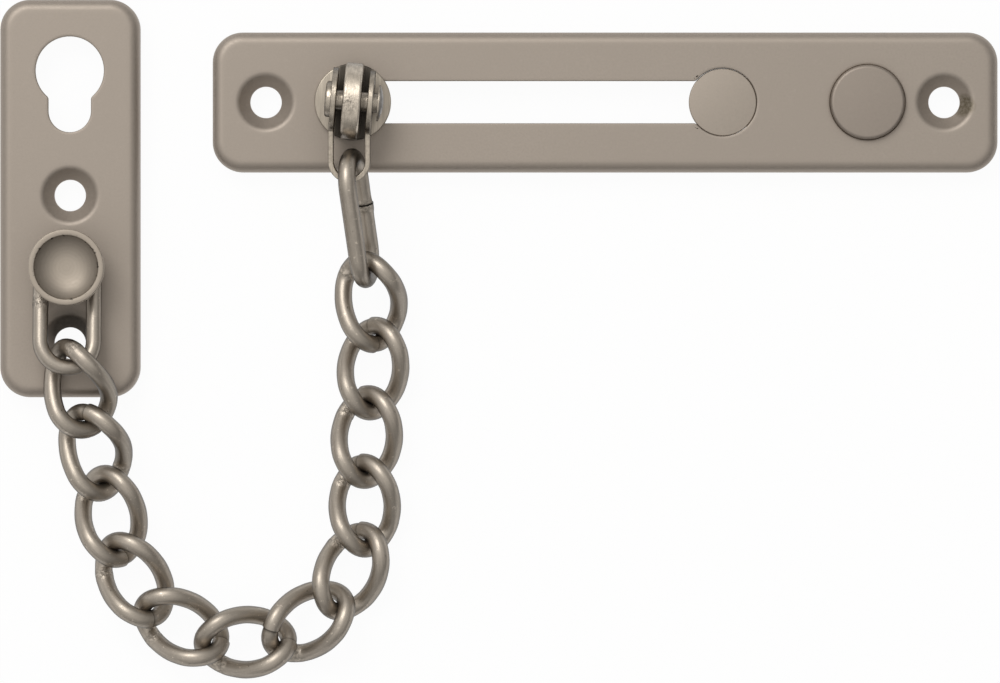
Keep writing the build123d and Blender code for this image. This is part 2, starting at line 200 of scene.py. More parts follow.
# Camera in metres: above the picture's centre, far enough that tall pieces show no side
VIEW_CENTRE = (-0.01745, -0.0397)
VIEW_HEIGHT = 1.5
VIEW_WIDTH = 0.16584

# Lamp and room: the lamp stands to the upper left, and the room is brightest on that side of straight up
KEY_PLACE = (-0.30, 0.42, 0.66)
KEY_WIDTH = 0.45
KEY_WATTS = 2.35
ROOM_BRIGHT_SIDE = (-0.26, 0.22, 0.94)
ROOM_DARK_FROM = -0.2
ROOM_DARKEST = 0.1
ROOM_BRIGHTEST = 0.97
FLOOR_HALF_WIDTH = 1.6
FLOOR_PLACE = (-0.03, -0.04, -0.0002)
FLOOR_WHITE_SHARE = 0.95

# Dark tones: of painted shade by the lug and where metal turns from the view; of painted shade in the stud's
# dish and by a keeper screw, and of nicks; of the stain in one countersink
PAINTED_SHADE_TONE = (0.03, 0.026, 0.022, 1.0)
SHADE_AND_NICK_TONE = (0.05, 0.045, 0.038, 1.0)
STAIN_TONE = (0.13, 0.11, 0.065, 1.0)

# Stain, painted shadow and wear in millimetres: places from a screw or the lug's top, how far it's full and
# where it ends
DOOR_STAIN = (3.45, -0.6, 3.7)
DOOR_STAIN_REACH = 2.3
DOOR_STAIN_EVENNESS = 0.35
# Painted shadow by the keeper's lower screw, where the stud and end link shade it
KEEPER_SHADOW = (0.0, 2.6, 2.6)
KEEPER_SHADOW_REACH = 4.8
KEEPER_SHADOW_EVENNESS = 0.9
# Painted shadow on the slider's disc, in the gaps between the lug and the bail's ears
GAP_SHADOW_FULL = 2.4
GAP_SHADOW_REACH = 3.8
RUBBED = (-0.6, -0.6, 0.0)
RUBBED_FULL = 0.6
RUBBED_REACH = 2.1
NICKS_FULL = 0.08
NICKS_REACH = 0.3

# Noise scales per metre, one number or one for each axis
PLATE_GRAIN = 2600.0
PLATE_CLOUD = 45.0
PLATE_SPECK = 900.0
STAIN_AND_SHADOW_SPECK = 1900.0
DISH_RINGS = 520.0
DISH_NICKS = 1700.0
WIRE_STREAKS = (260.0, 2600.0, 2600.0)
WIRE_PITS = (700.0, 1100.0, 1100.0)
WIRE_BLOTCH = 330.0
WIRE_GRAIN = 3200.0
WIRE_NICKS = 1300.0
WELD_CRUST = 1500.0
DISC_LINES = (3800.0, 160.0, 160.0)
SPRING_LINES = (120.0, 3000.0, 3000.0)
BRUSHED_CLOUD = 260.0
WORN_LINES = (5200.0, 700.0, 700.0)
WORN_PATCH = 800.0
RUBBED_CHATTER = 2600.0

# Of each ring: its weld's share of the way round, its bead's height in millimetres, its seam's share
WELDS = {
    "long_link": (0.229, 0.16, 0.229),
    "link_01": (0.883, 0.05, 0.53),
    "link_02": (0.863, 0.03, 0.975),
    "link_03": (0.846, 0.03, 0.963),
    "link_04": (0.846, 0.02, 0.992),
    "link_05": (0.825, 0.03, 0.958),
    "link_06": (0.371, 0.04, 0.60),
    "link_07": (0.354, 0.03, 0.02),
    "link_08": (0.325, 0.03, 0.97),
    "link_09": (0.329, 0.05, 0.04),
    "link_10": (0.350, 0.03, 0.98),
    "link_11": (0.875, 0.04, 0.52),
    "link_12": (0.550, 0.05, 0.97),
    "end_link": (0.254, 0.04, 0.52),
}


# Shapes


def mm(*values):
    return Vector(values) * MM


def verts_in(pieces):
    return [piece for piece in pieces if isinstance(piece, bmesh.types.BMVert)]


def drawn_arc(bm, centre, radius, start, sweep, steps):
    """An arc of edges at the centre's height, spun from one vertex. Returns its first and last vertices."""
    first = bm.verts.new(centre + Vector((cos(start), sin(start), 0)) * radius)
    spun = bmesh.ops.spin(
        bm, geom=[first], cent=centre, axis=(0, 0, 1), dvec=(0, 0, 0), angle=sweep, steps=steps,
        use_duplicate=False,
    )
    return first, verts_in(spun["geom_last"])[0]


def keyhole_outline(bm, slot_end, hole_centre, slot_half, hole_radius, throat):
    """Edges round a slot that opens into a round hole, with its two throat corners rounded."""
    along = (hole_centre - slot_end).normalized()
    heading = along.xy.angle_signed(Vector((1, 0)))
    reach = hole_radius + throat
    back = sqrt(reach**2 - (slot_half + throat) ** 2)
    open_angle = asin((slot_half + throat) / reach)
    turn = pi / 2 - open_angle
    across = Vector((-along.y, along.x, 0))
    lower = hole_centre - along * back - across * (slot_half + throat)
    upper = hole_centre - along * back + across * (slot_half + throat)
    arcs = [
        drawn_arc(bm, slot_end, slot_half, heading + pi / 2, pi, SLOT_END_STEPS),
        drawn_arc(bm, lower, throat, heading + pi / 2, -turn, THROAT_STEPS),
        drawn_arc(bm, hole_centre, hole_radius, heading + pi + open_angle, pi + 2 * turn, ROUND_STEPS),
        drawn_arc(bm, upper, throat, heading - open_angle, -turn, THROAT_STEPS),
    ]
    for this, following in zip(arcs, arcs[1:] + arcs[:1]):
        if (this[1].co - following[0].co).length > 0.01 * MM:
            bm.edges.new((this[1], following[0]))


def round_outline(bm, centre, radius):
    place = Matrix.Translation(centre)
    bmesh.ops.create_circle(bm, cap_ends=False, segments=ROUND_STEPS, radius=radius, matrix=place)


def at_front(piece):
    """Whether an edge or face lies in the plate's flat front."""
    return all(abs(vert.co.z - PLATE_DEPTH * MM) < FRONT_WITHIN for vert in piece.verts)


def drawn_on(bm, edges):
    """Extrudes a loop of edges by nothing. Returns the new loop's vertices and edges."""
    made = bmesh.ops.extrude_edge_only(bm, edges=edges)["geom"]
    verts = verts_in(made)
    ring = set(verts)
    new = [piece for piece in made if isinstance(piece, bmesh.types.BMEdge)]
    return verts, [edge for edge in new if all(vert in ring for vert in edge.verts)]


def pan_front(bm, size_x, size_y, centre):
    """Side walls and rounded front edge of a pressed pan; its front is left open for the outlines."""
    base = []
    for x, y in ((-1, -1), (1, -1), (1, 1), (-1, 1)):
        base.append(bm.verts.new(centre + mm(x * size_x / 2, y * size_y / 2, 0)))
    bm.faces.new(base)
    bmesh.ops.bevel(
        bm, geom=base, offset=PLATE_CORNER * MM, segments=CORNER_STEPS, profile=0.5, affect="VERTICES",
        material=-1,
    )
    made = bmesh.ops.extrude_face_region(bm, geom=list(bm.faces))
    bmesh.ops.translate(bm, verts=verts_in(made["geom"]), vec=mm(0, 0, PLATE_DEPTH))
    rim = [edge for edge in bm.edges if at_front(edge)]
    bmesh.ops.bevel(
        bm, geom=rim, offset=PLATE_EDGE * MM, segments=PLATE_EDGE_STEPS, profile=0.5, affect="EDGES",
        clamp_overlap=False, material=-1,
    )
    flat = [face for face in bm.faces if len(face.verts) > 4]
    bmesh.ops.delete(bm, geom=flat, context="FACES_ONLY")
    return [edge for edge in bm.edges if at_front(edge)]


def press_screw_holes(bm, outlines):
    """Draws each screw hole's outline back into the sheet as a rounded countersink."""
    roll = MOUTH_ROUND
    run = roll * tan(pi / 8)
    steps = []
    for k in range(1, MOUTH_STEPS + 1):
        turn = pi / 4 * k / MOUTH_STEPS
        steps.append((SCREW_HEAD_RADIUS + run - roll * sin(turn), PLATE_DEPTH - roll * (1 - cos(turn))))
    floor_z = PLATE_DEPTH - (SCREW_HEAD_RADIUS - SCREW_RADIUS)
    steps.append((SCREW_RADIUS + SCREW_EDGE, floor_z + SCREW_EDGE))
    steps.append((SCREW_RADIUS, floor_z - SCREW_EDGE_DROP))
    steps.append((SCREW_RADIUS, floor_z - SCREW_WALL))
    for centre, edges in outlines:
        radius, height = SCREW_HEAD_RADIUS + run, PLATE_DEPTH
        for new_radius, new_height in steps:
            verts, edges = drawn_on(bm, edges)
            share = new_radius / radius
            about = Matrix.Translation(-centre)
            bmesh.ops.scale(bm, verts=verts, vec=(share, share, 1), space=about)
            bmesh.ops.translate(bm, verts=verts, vec=mm(0, 0, new_height - height))
            radius, height = new_radius, new_height


def pressed_plate(size, centre, keyholes, round_holes, screws):
    """The front skin of a plate: pan walls, outlines filled between, and screw holes pressed back."""
    bm = bmesh.new()
    edges = pan_front(bm, size[0], size[1], centre)
    front = mm(0, 0, PLATE_DEPTH)
    for slot_end, hole_centre, slot_half, radius in keyholes:
        sizes = (slot_half * MM, radius * MM, THROAT_ROUND * MM)
        keyhole_outline(bm, slot_end + front, hole_centre + front, *sizes)
    for place, radius in round_holes:
        round_outline(bm, place + front, radius * MM)
    mouth = (SCREW_HEAD_RADIUS + MOUTH_ROUND * tan(pi / 8)) * MM
    for place in screws:
        round_outline(bm, place + front, mouth)
    bmesh.ops.remove_doubles(bm, verts=bm.verts, dist=MERGED_WITHIN)
    holes = [edge for edge in bm.edges if not edge.link_faces]
    edges += holes
    bmesh.ops.triangle_fill(bm, use_beauty=True, use_dissolve=False, edges=edges, normal=(0, 0, 1))
    flat = [face for face in bm.faces if at_front(face)]
    band = OPENING_BAND * MM
    bmesh.ops.inset_region(bm, faces=flat, thickness=band, use_boundary=True, use_even_offset=True)
    rims = [edge for edge in bm.edges if edge.is_boundary]
    reach = mouth + 0.1 * MM
    pressed = []
    for middle in (place + front for place in screws):
        pressed.append((middle, [edge for edge in rims if (edge.verts[0].co - middle).length < reach]))
    press_screw_holes(bm, pressed)
    bmesh.ops.remove_doubles(bm, verts=bm.verts, dist=MERGED_WITHIN)
    bmesh.ops.recalc_face_normals(bm, faces=bm.faces)
    if max(bm.faces, key=lambda face: face.calc_center_median().z).normal.z < 0:
        bmesh.ops.reverse_faces(bm, faces=bm.faces)
    return bm


def turned(profile, steps=TURNED_STEPS):
    """A solid of revolution about Z from a list of radius and height pairs, in millimetres."""
    bm = bmesh.new()
    verts = [bm.verts.new(mm(radius, 0, height)) for radius, height in profile]
    edges = [bm.edges.new(pair) for pair in zip(verts, verts[1:])]
    bmesh.ops.spin(
        bm, geom=verts + edges, cent=(0, 0, 0), axis=(0, 0, 1), dvec=(0, 0, 0), angle=2 * pi, steps=steps,
        use_merge=True,
    )
    bmesh.ops.remove_doubles(bm, verts=bm.verts, dist=MERGED_WITHIN)
    bmesh.ops.recalc_face_normals(bm, faces=bm.faces)
    return bm


def arc_points(centre_r, centre_z, radius, start, end, steps):
    """Points of a profile's arc, angles in degrees from the radius towards the height."""
    points = []
    for k in range(steps + 1):
        turn = radians(start + (end - start) * k / steps)
        points.append((centre_r + radius * cos(turn), centre_z + radius * sin(turn)))
    return points


def swept(stations, segments, radius, closed):
    """A tube drawn section by section, with each point's place along and across the wire kept on it."""
    bm = bmesh.new()
    place = bm.verts.layers.float_vector.new("wire_place")
    first = stations[0][1]
    made = bmesh.ops.create_circle(bm, cap_ends=False, segments=segments, radius=radius, matrix=first)
    verts = made["verts"]
    edges = list({edge for vert in verts for edge in vert.link_edges})
    first_edges = edges
    mark_places(verts, place, stations[0])
    for before, after in zip(stations, stations[1:]):
        verts, edges = drawn_on(bm, edges)
        bmesh.ops.transform(bm, matrix=after[1] @ before[1].inverted(), verts=verts)
        mark_places(verts, place, after)
    if closed:
        bmesh.ops.bridge_loops(bm, edges=first_edges + edges)
    return bm


def mark_places(verts, layer, station):
    along, matrix = station
    inverse = matrix.inverted()
    for vert in verts:
        across = inverse @ vert.co
        vert[layer] = Vector((along, across.x, across.y))


# Rings of the chain


def heading_vector(heading, drop=0.0):
    level = cos(radians(drop))
    return Vector((level * cos(radians(heading)), level * sin(radians(heading)), -sin(radians(drop))))


def ring_matrix(centre, direction, roll=0.0):
    """Local frame of a ring: Y looks back along the chain, and it rolls about that."""
    back = -direction.normalized()
    level_across = back.cross(Vector((0, 0, 1))).normalized()
    across = Matrix.Rotation(radians(roll), 3, back) @ level_across
    turn = Matrix((across, back, across.cross(back))).transposed().to_4x4()
    return Matrix.Translation(centre) @ turn


def slider_matrix():
    return Matrix.Translation((SLIDER_X, 0, 0)) @ Matrix.Rotation(SWIVEL_REST, 4, "Z")


def bail_matrix():
    raised = slider_matrix() @ Matrix.Translation((0, 0, PIN_HEIGHT))
    return raised @ Matrix.Rotation(BAIL_DROOP, 4, "X")


def bail_loop():
    """The bail's leg offset, the way that its legs run and its loop's centre, in its own plane."""
    leg_x = (BAIL_INSIDE + STRIP) / 2
    leg_direction = Vector((sin(-SWIVEL_REST), -cos(-SWIVEL_REST), 0))
    leg_length = BAIL_REACH - STRIP / 2 - leg_x - EAR_RADIUS
    return leg_x, leg_direction, Vector((0, -EAR_RADIUS, 0)) + leg_direction * leg_length


def laid_rings():
    """Name, frame, opening and wire of every ring, laid from the bail to the stud as in the solids."""
    leg_x, leg_direction, loop_centre = bail_loop()
    seat = bail_matrix() @ (loop_centre + leg_direction * (leg_x - STRIP / 2))
    long_direction = heading_vector(LONG_LINK_HEADING, LONG_LINK_DROP)
    long_top = seat + Vector((LONG_LINK_SIDE, LONG_LINK_SLACK, 0))
    long_centre = long_top + long_direction * (LONG_LINK_LENGTH / 2)
    long_frame = ring_matrix(long_centre, long_direction, LONG_LINK_ROLL)
    rings = [("long_link", long_frame, (LONG_LINK_LENGTH, LONG_LINK_WIDTH, LINK_WIRE, 0.0))]
    crossing = long_top + long_direction * (LONG_LINK_LENGTH - LONG_LINK_PLAY)
    reach = LINK_LENGTH - LINK_PLAY
    laid = zip(LINK_HEADINGS, LINK_ROLLS, CROSSING_LIFTS)
    for number, (heading, roll, lift) in enumerate(laid, start=1):
        rise = LOWEST_CROSSING + lift - crossing.z
        step = heading_vector(heading) * sqrt(reach**2 - rise**2) + Vector((0, 0, rise))
        link_frame = ring_matrix(crossing + step / 2, step, roll)
        rings.append((f"link_{number:02d}", link_frame, (LINK_LENGTH, LINK_WIDTH, LINK_WIRE, LINK_TWIST)))
        crossing = crossing + step
    end_direction = heading_vector(END_LINK_HEADING, END_LINK_DROP)
    end_centre = crossing + end_direction * (END_LINK_LENGTH / 2 - END_LINK_PLAY) + Vector(END_LINK_SHIFT)
    end_frame = ring_matrix(end_centre, end_direction, END_LINK_ROLL)
    rings.append(("end_link", end_frame, (END_LINK_LENGTH, END_LINK_WIDTH, END_LINK_WIRE, 0.0)))
    return rings


def ring_point(share, length, width, wire, twist):
    """A point of the wire's centreline, by its share of the way round from the near end's middle."""
    radius = (width + wire) / 2
    half_length = (length + wire) / 2
    bend = half_length - radius
    quarter = pi * radius / 2
    half_way = 2 * quarter + 2 * bend
    distance = (share % 1.0) * 2 * half_way
    side = 1 if distance < half_way else -1
    distance %= half_way
    if distance < quarter:
        x, y = radius * sin(distance / radius), bend + radius * cos(distance / radius)
    elif distance < quarter + 2 * bend:
        x, y = radius, bend - (distance - quarter)
    else:
        turn = (distance - quarter - 2 * bend) / radius
        x, y = radius * cos(turn), -bend - radius * sin(turn)
    x, y = side * x, side * y
    turn = twist * sin(pi / 2 * y / half_length)
    return Vector((x * cos(turn), y, x * sin(turn)))


def ring_shares(perimeter, weld, seam):
    """Shares of the way round where a section stands: even ones, and close ones at weld and seam."""
    shares = {round(k / EVEN_SECTIONS, 5) for k in range(EVEN_SECTIONS)}
    for start, offsets in ((weld, WELD_SECTIONS), (seam, SEAM_SECTIONS)):
        for offset in offsets:
            shares.add(round((start + offset / perimeter) % 1.0, 5))
    return sorted(shares)


def from_share(share, start):
    return (share - start) % 1.0


def ring_stations(name, sizes, wire_radius):
    """Sections of a ring from just past its seam round to just before it, with the frame carried evenly."""
    length, width, wire, twist = sizes
    if width == LINK_WIDTH:
        length -= RING_TIGHTER
    sizes = (length, width, wire, twist)
    weld, bead, seam = WELDS[name]
    radius = (width + wire) / 2
    perimeter = 2 * pi * radius + 4 * ((length + wire) / 2 - radius)
    start = seam + PAST_SEAM
    shares = sorted(ring_shares(perimeter, weld, seam), key=lambda share: from_share(share, start))
    tangents, points = [], []
    for share in shares:
        ahead = ring_point(share + TANGENT_STEP, *sizes)
        tangents.append((ahead - ring_point(share - TANGENT_STEP, *sizes)).normalized())
        points.append(ring_point(share, *sizes))
    across = Vector((0, 0, 1)).cross(tangents[0]).normalized()
    carried = [across]
    for before, after in zip(tangents, tangents[1:] + tangents[:1]):
        across = before.rotation_difference(after) @ across
        carried.append(across)
    slip = carried[0].angle(carried[-1])
    if carried[0].cross(carried[-1]).dot(tangents[0]) > 0:
        slip = -slip
    stations = []
    for place, (share, tangent, point) in enumerate(zip(shares, tangents, points)):
        ease = Matrix.Rotation(slip * place / len(shares), 3, tangent)
        x_axis = ease @ carried[place]
        along = from_share(share, seam) * perimeter
        swell = wire_swell((share - weld) * perimeter, along, perimeter, bead, wire_radius)
        turn = Matrix((x_axis, tangent.cross(x_axis), tangent)).transposed()
        turn = turn @ Matrix.Diagonal((swell, swell, 1))
        stations.append((along * MM, Matrix.Translation(point * MM) @ turn.to_4x4()))
    return stations, perimeter


def wire_swell(from_weld, past_seam, perimeter, bead, wire_radius):
    """Factor on the wire's radius: a bead at the weld, and a step at the seam, where one end stands proud."""
    from_weld = abs((from_weld + perimeter / 2) % perimeter - perimeter / 2)
    before_seam = perimeter - past_seam
    step = SEAM_PROUD * exp(-past_seam / SEAM_PROUD_LENGTH) - SEAM_SUNK * exp(-before_seam / SEAM_SUNK_LENGTH)
    return 1 + (bead * exp(-((from_weld / WELD_LENGTH) ** 2)) + step) / wire_radius


def roughen_weld(bm, weld_along, perimeter, height):
    """Lumps on the bead, with the shares of weld and seam kept on each point for its finish."""
    weld = bm.verts.layers.float.new("weld")
    seam = bm.verts.layers.float.new("seam")
    place = bm.verts.layers.float_vector["wire_place"]
    for vert in bm.verts:
        along = vert[place].x / MM
        vert[seam] = exp(-min(along / SEAM_LINE_AFTER, (perimeter - along) / SEAM_LINE_BEFORE))
        offset = (along - weld_along + perimeter / 2) % perimeter - perimeter / 2
        vert[weld] = exp(-((offset / WELD_LUMPS_LENGTH) ** 2))
        if vert[weld] > 0.02:
            outward = Vector((vert[place].y, vert[place].z, 0)).normalized()
            spread = (offset * LUMP_SPREAD[0], outward.x * LUMP_SPREAD[1], outward.y * LUMP_SPREAD[1])
            vert.co += vert.normal * noise.noise(Vector(spread)) * height * vert[weld] * MM


# Materials


def scaled(colour, share):
    return (colour[0] * share, colour[1] * share, colour[2] * share, 1.0)


def add_node(tree, kind, values=None, **settings):
    """A node with its settings. Each value is a plain one, or the output that feeds that input."""
    node = tree.nodes.new(kind)
    for key, value in settings.items():
        setattr(node, key, value)
    for key, value in (values or {}).items():
        if isinstance(value, bpy.types.NodeSocket):
            tree.links.new(value, node.inputs[key])
        else:
            node.inputs[key].default_value = value
    return node


class Finish:
    """A metal finish built up from nodes on one shader."""

    def __init__(self, name, colour, roughness):
        self.material = bpy.data.materials.new(name)
        self.material.use_nodes = True
        self.tree = self.material.node_tree
        self.shader = self.tree.nodes["Principled BSDF"]
        self.shader.inputs["Metallic"].default_value = 1.0
        self.shader.inputs["Roughness"].default_value = roughness
        self.colour = colour
        self.tone = scaled(colour, 1.0)
        self.shader.inputs["Base Color"].default_value = self.tone

    def add(self, kind, values=None, **settings):
        return add_node(self.tree, kind, values, **settings)

    def place(self):
        """Object coordinates of the piece."""
        return self.add("ShaderNodeTexCoord").outputs["Object"]

    def wire_place(self):
        """Place along and across the wire, kept on the mesh."""
        return self.add("ShaderNodeAttribute", attribute_name="wire_place").outputs["Vector"]

    def share_of(self, name):
        """Share kept on each point of the mesh under that name."""
        return self.add("ShaderNodeAttribute", attribute_name=name).outputs["Fac"]

    def stretched(self, place, scale):
        return self.add("ShaderNodeMapping", {"Vector": place, "Scale": scale}).outputs["Vector"]

    def cloud(self, place, scale, detail=3.0, roughness=0.55):
        values = {"Vector": place, "Scale": scale, "Detail": detail, "Roughness": roughness}
        return self.add("ShaderNodeTexNoise", values).outputs["Fac"]

    def between(self, value, low, high, to_low=0.0, to_high=1.0):
        values = {"Value": value, "From Min": low, "From Max": high, "To Min": to_low, "To Max": to_high}
        return self.add("ShaderNodeMapRange", values, clamp=True).outputs["Result"]

    def mixed(self, share, first, second):
        return self.add("ShaderNodeMix", {0: share, 6: first, 7: second}, data_type="RGBA").outputs[2]

    def vary(self, share, low, high):
        """Starts the tone between two shades, each a factor on the metal's colour."""
        self.tone = self.mixed(share, scaled(self.colour, low), scaled(self.colour, high))

    def shade(self, share, factor):
        """Takes that share of the tone over to the metal's colour times the factor."""
        self.mix_in(share, scaled(self.colour, factor))

    def mix_in(self, share, overlay):
        self.tone = self.mixed(share, self.tone, overlay)

    def vectors(self, operation, first, second, output="Vector"):
        return self.add("ShaderNodeVectorMath", {0: first, 1: second}, operation=operation).outputs[output]

    def sums(self, operation, first, second=0.0):
        return self.add("ShaderNodeMath", {0: first, 1: second}, operation=operation).outputs[0]

    def product(self, first, second):
        return self.sums("MULTIPLY", first, second)

    def bump(self, height, strength, distance, below=None):
        values = {"Height": height, "Strength": strength, "Distance": distance}
        if below is not None:
            values["Normal"] = below
        return self.add("ShaderNodeBump", values).outputs["Normal"]

    def paint_edge_shade(self, low, high, share):
        """Paints shade into the tone, by that share, where the surface turns away from the view."""
        facing = self.add("ShaderNodeLayerWeight", {"Blend": 0.5}).outputs["Facing"]
        self.mix_in(self.between(facing, low, high, 0.0, share), PAINTED_SHADE_TONE)

    def drive(self, socket, value):
        self.tree.links.new(value, self.shader.inputs[socket])


def matt_plate(name, colour, dark_spot=None, dish=None):
    """Fine shot-blasted plating: tiny grain, faint clouds and, where asked, one dark spot or a dish with
    painted shade. The spot is a stain on the door plate and painted shadow on the keeper plate.
    """
    finish = Finish(name, colour, 0.5)
    place = finish.place()
    grain = finish.cloud(place, PLATE_GRAIN, 2.0)
    cloud = finish.cloud(place, PLATE_CLOUD, 2.0)
    speck = finish.between(finish.cloud(place, PLATE_SPECK, 4.0, 0.7), 0.56, 0.72)
    finish.vary(finish.between(grain, 0.3, 0.7), 0.93, 1.07)
    finish.shade(finish.between(cloud, 0.3, 0.7, 0.0, 0.35), 0.94)
    finish.shade(finish.product(speck, 0.25), 1.12)
    if dark_spot is not None:
        lay_stain_and_shadow(finish, *dark_spot)
    if dish is not None:
        lay_dish(finish, *dish)
    finish.drive("Base Color", finish.tone)
    finish.drive("Roughness", finish.between(grain, 0.3, 0.7, 0.5, 0.6))
    finish.drive("Normal", finish.bump(grain, 0.18, 0.00002))
    return finish.material


def lay_stain_and_shadow(finish, centre, radius, overlay, evenness):
    """A darker tone round a centre, broken up into specks unless its evenness is 1: a stain on the door
    plate, and painted shadow on the keeper plate.
    """
    place = finish.place()
    offset = finish.vectors("DISTANCE", place, centre, "Value")
    reach = finish.between(offset, radius * 0.6, radius, 0.85, 0.0)
    broken = finish.between(finish.cloud(place, STAIN_AND_SHADOW_SPECK, 4.0, 0.7), 0.36, 0.6, evenness, 1.0)
    finish.mix_in(finish.product(reach, broken), overlay)


def lay_dish(finish, centre, radius):
    """Turned rings in a dish, painted shade that thickens towards its edge, and dark nicks beside that."""
    flat = finish.vectors("MULTIPLY", finish.place(), (1.0, 1.0, 0.0))
    around = finish.vectors("SUBTRACT", flat, centre)
    waves = {"Vector": around, "Scale": DISH_RINGS, "Distortion": 0.6, "Detail": 1.0}
    rings = finish.add("ShaderNodeTexWave", waves, wave_type="RINGS", rings_direction="Z")
    finish.shade(finish.product(rings.outputs["Fac"], 0.12), 1.25)
    # Painted shade in the dish, thickest at its steep edge
    offset = finish.vectors("DISTANCE", flat, centre, "Value")
    inside = finish.sums("LESS_THAN", offset, radius + 0.1 * MM)
    reach = finish.between(offset, radius * 0.3, radius, 0.0, 0.34)
    finish.mix_in(finish.product(reach, inside), SHADE_AND_NICK_TONE)
    # Dark nicks beside the dish's edge
    from_edge = finish.sums("ABSOLUTE", finish.sums("SUBTRACT", offset, radius))
    near_edge = finish.between(from_edge, NICKS_FULL * MM, NICKS_REACH * MM, 0.85, 0.0)
    nicks = finish.between(finish.cloud(finish.place(), DISH_NICKS, 2.0), 0.6, 0.64)
    finish.mix_in(finish.product(near_edge, nicks), SHADE_AND_NICK_TONE)


def satin_wire(name, colour):
    """Drawn and tumbled wire: streaks along it, soft blotches, small nicks, pits, rough bright welds, and
    painted shade on flanks that turn from the view.
    """
    finish = Finish(name, colour, 0.42)
    along, place = finish.wire_place(), finish.place()
    streaks = finish.cloud(finish.stretched(along, WIRE_STREAKS), 1.0, 3.0, 0.6)
    blotch = finish.cloud(place, WIRE_BLOTCH, 3.0)
    grain = finish.cloud(place, WIRE_GRAIN, 3.0, 0.7)
    nicks = finish.between(finish.cloud(place, WIRE_NICKS, 2.0, 0.6), 0.66, 0.72)
    pits = finish.between(finish.cloud(finish.stretched(along, WIRE_PITS), 1.0, 2.0), 0.28, 0.22)
    finish.vary(finish.between(streaks, 0.35, 0.65), 0.9, 1.1)
    finish.shade(finish.between(blotch, 0.35, 0.7, 0.0, 0.35), 0.8)
    finish.shade(finish.between(grain, 0.35, 0.65, 0.0, 0.3), 0.65)
    finish.shade(finish.product(nicks, 0.6), 1.7)
    finish.shade(finish.product(pits, 0.8), 0.22)
    crust = finish.cloud(place, WELD_CRUST, 4.0, 0.7)
    burnt = finish.mixed(finish.between(crust, 0.42, 0.58), scaled(colour, 0.55), scaled(colour, 1.3))
    welded = finish.between(finish.share_of("weld"), 0.3, 0.9)
    weld_share = finish.product(welded, finish.between(crust, 0.35, 0.5, 0.3, 0.9))
    finish.mix_in(weld_share, burnt)
    finish.shade(finish.between(finish.share_of("seam"), 0.15, 0.8), 0.12)
    # Painted shade on the wire's flanks, where they turn from the view
    finish.paint_edge_shade(0.32, 0.82, 0.88)
    finish.drive("Base Color", finish.tone)
    finish.drive("Roughness", finish.between(streaks, 0.3, 0.7, 0.46, 0.38))
    fine = finish.bump(streaks, 0.12, 0.00003)
    dents = finish.bump(blotch, 0.12, 0.0002, fine)
    grained = finish.bump(grain, 0.22, 0.00003, dents)
    rough = finish.product(crust, weld_share)
    finish.drive("Normal", finish.bump(rough, 0.6, 0.0003, grained))
    return finish.material


def brushed(name, colour, stretch, roughness=0.4, gap_shadow=None):
    """Metal with a brushed grain, finest across the brushing, and painted shadow in the gaps beside the lug
    where asked.
    """
    finish = Finish(name, colour, roughness)
    lines = finish.cloud(finish.stretched(finish.place(), stretch), 1.0, 3.0, 0.65)
    cloud = finish.cloud(finish.place(), BRUSHED_CLOUD, 2.0)
    finish.vary(finish.between(lines, 0.32, 0.68), 0.82, 1.15)
    finish.shade(finish.between(cloud, 0.4, 0.7, 0.0, 0.3), 0.8)
    # Painted shadow on the disc in the gaps beside the lug
    if gap_shadow is not None:
        centre, across = gap_shadow
        offset = finish.vectors("SUBTRACT", finish.place(), centre)
        distance = finish.sums("ABSOLUTE", finish.vectors("DOT_PRODUCT", offset, across, "Value"))
        finish.mix_in(finish.between(distance, GAP_SHADOW_FULL * MM, GAP_SHADOW_REACH * MM, 0.9, 0.0), PAINTED_SHADE_TONE)
    finish.drive("Base Color", finish.tone)
    finish.drive("Roughness", finish.between(lines, 0.3, 0.7, roughness + 0.06, roughness - 0.05))
    finish.drive("Normal", finish.bump(lines, 0.2, 0.00003))
    return finish.material


def scuffed(name, colour, edge_shade_share, rubbed_at=None):
    """Bright raw steel worn by the bail: fine lines, a rough rubbed band, dark worn patches, and painted
    shade where it turns from the view.
    """
    finish = Finish(name, colour, 0.3)
    place = finish.place()
    lines = finish.cloud(finish.stretched(place, WORN_LINES), 1.0, 3.0, 0.6)
    patch = finish.cloud(place, WORN_PATCH, 4.0, 0.7)
    finish.vary(finish.between(lines, 0.3, 0.7), 0.78, 1.12)
    finish.shade(finish.product(finish.between(patch, 0.5, 0.62), 0.4), 0.5)
    rough = patch
    if rubbed_at is not None:
        offset = finish.vectors("DISTANCE", place, rubbed_at, "Value")
        reach = finish.between(offset, RUBBED_FULL * MM, RUBBED_REACH * MM, 1.0, 0.0)
        chatter = finish.cloud(place, RUBBED_CHATTER, 3.0, 0.7)
        finish.shade(finish.product(reach, finish.between(chatter, 0.42, 0.6)), 0.35)
        rough = finish.sums("ADD", patch, finish.product(reach, chatter))
    # Painted shade where the surface turns from the view
    finish.paint_edge_shade(0.15, 0.7, edge_shade_share)
    finish.drive("Base Color", finish.tone)
    finish.drive("Roughness", finish.between(patch, 0.35, 0.65, 0.24, 0.44))
    worn = finish.bump(rough, 0.3, 0.00018)
    finish.drive("Normal", finish.bump(lines, 0.15, 0.00003, worn))
    return finish.material


